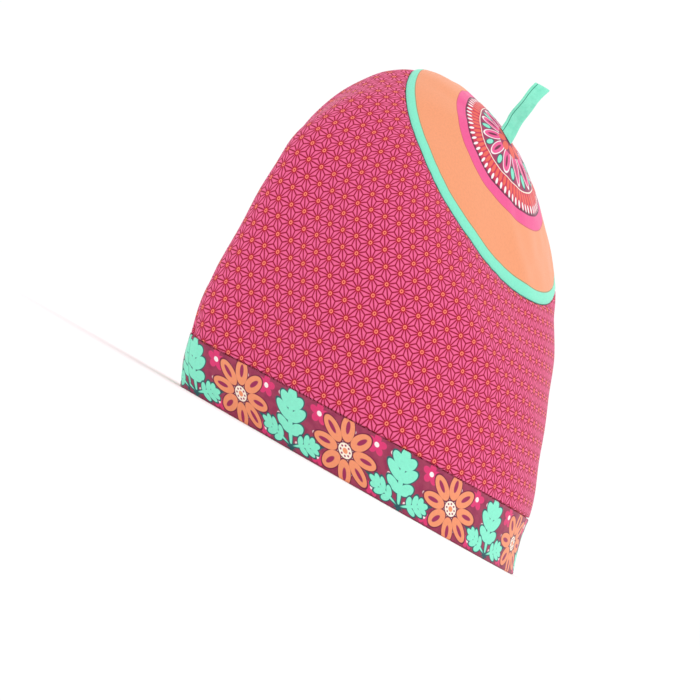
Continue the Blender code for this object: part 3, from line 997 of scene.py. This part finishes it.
def daisy(x, y, size):
    """A daisy of eight petals, each with a plum seed, and a cream middle with a ring of seeds."""
    distance = length_of(x, y)
    place = folded_round(distance, Sum.of("ARCTAN2", y, x), 8)
    outline = petal(place, 0.64 * size, 0.38 * size, 0.215 * size)
    seed = length_of(place[0] - 0.15 * size, place[1]) - 0.03 * size
    return (
        (CREAM, inside(distance - 0.50 * size)),
        (DEEP_PLUM, inside(outline - 0.40)),
        (DAISY_ORANGE, inside(outline)),
        (PLUM, inside(petal(place, 0.68 * size, 0.19 * size, 0.065 * size))),
        (DEEP_PLUM, inside(distance - 0.25 * size)),
        (CREAM, inside(distance - 0.22 * size)),
        (PLUM, inside(seed, 0.08)),
        (DAISY_ORANGE, inside(distance - 0.08 * size)),
    )


def sprig(x, y, length):
    """A stem with three pairs of leaves and one at its tip, growing along y."""
    shape = petal((y, x), 0.50 * length, 0.50 * length, 0.05 * length)
    for height, reach, lean in ((0.24, 0.17, 38.0), (0.46, 0.20, 42.0), (0.68, 0.16, 46.0)):
        place = turned(abs(x), y - height * length, lean)
        shape = least(shape, petal(place, reach * length, reach * length, 0.095 * length))
    shape = least(shape, petal((y, x), 0.88 * length, 0.17 * length, 0.095 * length))
    return (TEAL, inside(shape - 0.42)), (LEAF_MINT, inside(shape))


def blossom(x, y, size):
    """A five-petalled blossom in pink with a white middle."""
    distance = length_of(x, y)
    place = folded_round(distance, Sum.of("ARCTAN2", y, x), 5, 0.3)
    shape = petal(place, 0.58 * size, 0.42 * size, 0.34 * size)
    return (BLOSSOM, inside(shape)), (WHITE, inside(distance - 0.24 * size))


def border_cloth(name, repeat_up):
    """Plum cotton with daisies, sprigs, blossoms and dots. It may also repeat upwards."""
    cloth, across, up = start_cloth(name)
    row_y = near(up, 13.0, repeat_up)
    dot = length_of(near(across, 3.0, BORDER_REPEAT / 6.0), near(up, 4.0, 9.0)) - 0.85
    beside = near(across, 0.25 * BORDER_REPEAT, 0.5 * BORDER_REPEAT)
    halfway = near(across, 0.5 * BORDER_REPEAT, BORDER_REPEAT)
    coats = [(GROUND_SHADE, rising(noise(0.25, 3.0), 0.35, 0.7)), (DOT_PINK, inside(dot, 0.15))]
    coats += (*blossom(beside, row_y - 8.8, 4.6), *blossom(beside, row_y + 9.6, 3.6))
    for lean, length, start in ((0.0, 24.0, 0.0), (-66.0, 14.0, 1.6), (66.0, 14.0, 1.6)):
        x, y = turned(halfway, row_y + 11.4, lean)
        coats += sprig(x, y - start, length)
    coats += daisy(near(across, 0.0, BORDER_REPEAT), row_y + 0.6, 14.6)
    return finish_cloth(cloth, ink(GROUND_PLUM, *coats), across, up)


BORDER_CLOTH = border_cloth("border_flowers", 400.0)
LINING_PRINT = border_cloth("lining_flowers", 36.0)
print("border print:", len(BORDER_CLOTH.node_tree.nodes), "nodes")

# %% [markdown]
# ## The border band
#
# A strip of print is folded lengthwise round the hem: down the outside, under, and a little way up inside.
# Its fold is rounded, and the whole hem lies flat on the table. Each half of the cosy has its own strip,
# which is why the print jumps at the side seams.

# %% Fold the band round the hem
CUFF_COLUMNS = 126
MEASURED_AT = 8.0
INNER_FACE = UNDER_BAND - PANEL_AT_HEM - CLEARANCE
INNER_BACK = INNER_FACE - LINING_CLOTH
UPPER_FOLD = (
    # run and depth of the shown face, then of the hidden one
    (26.0, -0.5, 26.0, -0.6),
    (25.9, -0.15, 25.9, -0.88),
    (25.6, 0.1, 25.6, -1.0),
    (25.1, 0.2, 25.1, -1.0),
)
HEM_FOLD = (
    (0.9, 0.2, 2.1, -1.0),
    (0.52, 0.12, 1.75, -1.02),
    (0.27, -0.07, 1.47, -1.07),
    (0.08, -0.33, 1.27, -1.15),
    (0.0, -0.7, 1.2, -1.3),
    (0.0, -1.45, 1.2, -1.7),
    (0.0, -2.3, 1.2, -2.2),
    (0.0, -3.05, 1.2, -2.7),
    (0.08, -3.62, 1.27, -3.05),
    (0.27, -3.93, 1.47, -3.13),
    (0.52, -4.12, 1.75, -3.18),
    (0.9, INNER_BACK, 2.1, INNER_FACE),
)
INNER_EDGE = (
    (11.3, INNER_BACK, 11.3, INNER_FACE),
    (11.8, INNER_BACK + 0.12, 11.8, INNER_FACE - 0.1),
    (12.0, INNER_BACK + 0.42, 12.0, INNER_FACE - 0.4),
)


def straight_rows(first, last, count):
    """Rows strictly between two rows of the fold."""
    return between(np.array(first), np.array(last), np.linspace(0.0, 1.0, count + 2)[1:-1, None])


FOLD = np.concatenate([
    UPPER_FOLD,
    straight_rows(UPPER_FOLD[-1], HEM_FOLD[0], 15),
    HEM_FOLD,
    straight_rows(HEM_FOLD[-1], INNER_EDGE[0], 6),
    INNER_EDGE,
])
fold_length = added_up(np.hypot(np.diff(FOLD[:, 0]), np.diff(FOLD[:, 1])))
fold_up = BAND_OUTSIDE - fold_length
print("each strip is", round(fold_length[-1], 1), "mm wide when flat")


def fold_cuff(name, start):
    """One strip of the border band, its rows running down the outside and up the inside."""
    turns = half_turns(start, CUFF_COLUMNS)
    every = np.ones((len(turns), 1))
    outside = FOLD[:, 1] > INNER_FACE + 0.5
    dip = 0.3 * side_seam_dip(turns) * smooth_step(0.5, 6.0, FOLD[:, 0]) * outside
    shown = placed(turns, FOLD[:, 0] * every, FOLD[:, 1] - dip)
    hidden = placed(turns, FOLD[:, 2] * every, FOLD[:, 3] * every)
    low, _ = skin(turns, MEASURED_AT * every)
    along = level_length(low * MM, MEASURED_AT * every)
    cloth_map = np.stack([along * np.ones((1, len(FOLD))), fold_up * every], -1)
    print(name, "is", round(float(along[-1, 0] - along[0, 0]), 1), "mm long")
    return shell(name, BORDER_CLOTH, shown, hidden, cloth_map)


cuff_front = fold_cuff("border_band_front", SEAM_LEFT)
cuff_back = fold_cuff("border_band_back", SEAM_RIGHT)
for cuff, node, panel in ((cuff_front, "cuff_front", panel_front), (cuff_back, "cuff_back", panel_back)):
    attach(cuff, "root")
    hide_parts(node)

# %% [markdown]
# ## The lining
#
# A thin lining covers the wadding on the inside. It starts above the band's inner leaf and runs up over the
# whole hollow, just clear of the panels and the crown. It shows only from below, so its grid is coarser.

# %% Hang the lining
LINING_COLUMNS = 120
LINING_WALL_ROWS = 34
LINING_CROWN_ROWS = 16

turns = round_turns(LINING_COLUMNS)
_, strip_runs, seam_runs = strips(turns)
runs = np.array([
    np.concatenate([
        np.linspace(BAND_INSIDE + CLEARANCE, top, LINING_WALL_ROWS + 1),
        np.linspace(top, middle, LINING_CROWN_ROWS + 1)[1:],
    ])
    for top, middle in zip(seam_runs, strip_runs[:, -1])
])
depth = inside_depth(turns, runs) - CLEARANCE
lining = shell(
    "lining_cloth",
    LINING_PRINT,
    placed(turns, runs, depth),
    placed(turns, runs, depth - LINING_CLOTH),
    plain_map(turns, runs)[1],
    closed_round=True,
)
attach(lining, "root")
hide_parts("lining")

# %% [markdown]
# ## The hanging loop
#
# The loop is mint tape, folded in half and sewn into the crown just left of the middle. It leans a little to
# the right, with a faint bow to the left and a faint S from back to front. The tape is folded lengthwise and
# stitched, and a thin dark line of painted shade runs along the stitched fold near one edge. A flat grid is
# bent along the loop's side view, then given a thickness that is pinched at its edges.

# %% The tape's cloth
TAPE_MINT = linear(142, 238, 208)
TAPE_SHADE = linear(128, 228, 197)
TAPE_FOLD_SHADE = linear(44, 140, 114)
STITCHED_AT = -2.3


def tape_cloth(name):
    """Ribbed mint cotton with a thin dark line of painted shade where its lengthwise fold is stitched."""
    cloth, across, up = start_cloth(name)
    colour = ink(
        TAPE_MINT,
        (TAPE_SHADE, rising(noise(0.3), 0.35, 0.75)),
        # Painted shade: a thin dark line along the stitched, pressed-in fold.
        (TAPE_FOLD_SHADE, inside(abs(across - STITCHED_AT) - 0.16, 0.10)),
    )
    return finish_cloth(cloth, colour, across, up, sheen=0.3)


TAPE_CLOTH = tape_cloth("loop_tape")

# %% Bend the tape into the loop
LOOP_WIDTH = 7.2
LOOP_HEIGHT = 28.2
LOOP_STEP_LEFT = 2.2
LOOP_TAPE = 0.9
LOOP_PARTING = 0.5
LOOP_BOW = 1.0
LOOP_SWAY = 1.1
LOOP_LEAN = 3.2
LOOP_WOBBLE = 0.2
LOOP_SLOPED_FOOT = 0.45
LOOP_COLUMNS = 24
LEG_STEPS = 36
BEND_STEPS = 10


def loop_line():
    """The tape's middle line in its side view: up one leg, round the fold and down the other."""
    half = 0.5 * (LOOP_TAPE + LOOP_PARTING)
    straight = LOOP_HEIGHT - half
    up = np.linspace(0.0, straight, LEG_STEPS + 1)
    bend = np.linspace(0.0, math.pi, BEND_STEPS + 1)[1:-1]
    aside = np.concatenate([half * np.ones_like(up), half * np.cos(bend), -half * np.ones_like(up)])
    height = np.concatenate([up, straight + half * np.sin(bend), up[::-1]])
    return aside, height


def loop_face(side):
    """Points of one face of the tape, [column across, row along]."""
    aside, height = loop_line()
    along = unit(np.stack([np.gradient(aside), np.gradient(height)], -1))
    out = np.stack([along[:, 1], -along[:, 0]], -1)
    across = np.linspace(-0.5, 0.5, LOOP_COLUMNS + 1)[:, None]
    # Thinner at its edges, and pressed in along the stitched line.
    thick = 1.0 - 0.62 * np.abs(2.0 * across) ** 7 - bell(across * LOOP_WIDTH - STITCHED_AT, 0.30, 0.25)
    thick = thick + 0.06 * np.sin(across * 9.0 + height * 0.5)
    half = 0.5 * LOOP_TAPE * thick * side
    share = height / LOOP_HEIGHT
    x = across * LOOP_WIDTH * (1.0 + 0.02 * np.sin(share * 7.0)) - LOOP_STEP_LEFT + LOOP_LEAN * share
    x = x - LOOP_BOW * np.sin(math.pi * share) + LOOP_WOBBLE * np.sin(share * 13.0 + across)
    y = aside + out[:, 0] * half + LOOP_SWAY * np.sin(math.tau * share)
    slope = -(CROWN_UP[0] * x + CROWN_UP[1] * y) / CROWN_UP[2]
    z = height + out[:, 1] * half + slope * (1.0 - smooth_step(0.0, LOOP_SLOPED_FOOT, share))
    return np.stack([x, y, z], -1), across


crown_middle = crown_points(np.array([0.0]), np.array([0.0]))[0, 0]
loop_foot = crown_middle + CROWN_UP * CLEARANCE
outer_face, across = loop_face(1.0)
inner_face, _ = loop_face(-1.0)
aside, height = loop_line()
tape_run = added_up(np.hypot(np.diff(aside), np.diff(height)))
print("the tape is", round(tape_run[-1], 1), "mm long")
loop_map = np.stack([across * LOOP_WIDTH * np.ones_like(tape_run), tape_run * np.ones_like(across)], -1)
outer_face, inner_face = (loop_foot + outer_face) * MM, (loop_foot + inner_face) * MM
loop = shell("hanging_loop", TAPE_CLOTH, outer_face, inner_face, loop_map)
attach(loop, "root")
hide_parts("loop")

# %% [markdown]
# ## Floor, light and camera
#
# The floor is plain white and large enough to have no visible edge. The light is soft and even: a white world
# with two large area lights that shape the folds a little. The camera stands just above the floor and looks
# almost level at the front through a long lens. It is rolled, so the cosy is shown tipped over.

# %% Floor
FLOOR_HALF = 6.0
WHITE_LIGHT = (1.0, 1.0, 1.0, 1.0)


def plain_floor():
    """A wide white floor."""
    builder = bmesh.new()
    bmesh.ops.create_grid(builder, x_segments=1, y_segments=1, size=FLOOR_HALF)
    mesh = finished_mesh("floor", builder)
    paper = bpy.data.materials.new("floor_paper")
    paper.use_nodes = True
    shader = paper.node_tree.nodes["Principled BSDF"]
    fill(shader, Base_Color=WHITE_LIGHT, Roughness=0.9, Specular_IOR_Level=0.1)
    mesh.materials.append(paper)
    return add_object("floor", mesh)


plain_floor()

# %% Light
scene = bpy.context.scene
scene.view_settings.view_transform = "Standard"
world = bpy.data.worlds.new("studio")
world.use_nodes = True
fill(world.node_tree.nodes["Background"], Color=WHITE_LIGHT, Strength=1.02)
scene.world = world


def soft_light(name, place, aim, size, power):
    """A large square area light that looks at a point."""
    light = bpy.data.lights.new(name, "AREA")
    light.shape = "SQUARE"
    light.size = size
    light.energy = power
    lamp = add_object(name, light)
    lamp.location = place
    lamp.rotation_mode = "QUATERNION"
    lamp.rotation_quaternion = (Vector(aim) - Vector(place)).to_track_quat("-Z", "Y")


soft_light("key_right", (1.1, -0.7, 1.2), (0.0, 0.0, 0.08), 0.9, 2.5)
soft_light("from_behind", (0.5, 1.3, 1.3), (0.0, 0.0, 0.1), 1.0, 4.0)

# %% Camera
PIXEL = 0.45 * MM
FRAME_SIDE = 700
RIM_MIDDLE = Vector((5.9 * MM, 0.0, 0.0))
RIM_AT = (346.5, 480.0)
LENS = 180.0
SENSOR = 36.0
ELEVATION = math.radians(-1.33)
ROLL = math.radians(29.7)

level_right = Vector((1.0, 0.0, 0.0))
level_up = Vector((0.0, math.sin(ELEVATION), math.cos(ELEVATION)))
forward = Vector((0.0, math.cos(ELEVATION), -math.sin(ELEVATION)))
camera_right = level_right * math.cos(ROLL) + level_up * math.sin(ROLL)
camera_up = level_up * math.cos(ROLL) - level_right * math.sin(ROLL)
aim = (
    RIM_MIDDLE
    + camera_right * (0.5 * FRAME_SIDE - RIM_AT[0]) * PIXEL
    + camera_up * (RIM_AT[1] - 0.5 * FRAME_SIDE) * PIXEL
)
distance = FRAME_SIDE * PIXEL * LENS / SENSOR
camera_data = bpy.data.cameras.new("camera")
camera_data.lens = LENS
camera_data.sensor_width = SENSOR
camera_data.clip_start = 0.01
camera = add_object("camera", camera_data)
axes = Matrix((camera_right, camera_up, -forward)).transposed()
camera.matrix_world = Matrix.Translation(aim - forward * distance) @ axes.to_4x4()
scene.camera = camera
print("camera stands", round(distance, 3), "m away and", round(camera.matrix_world[2][3] / MM, 1), "mm up")
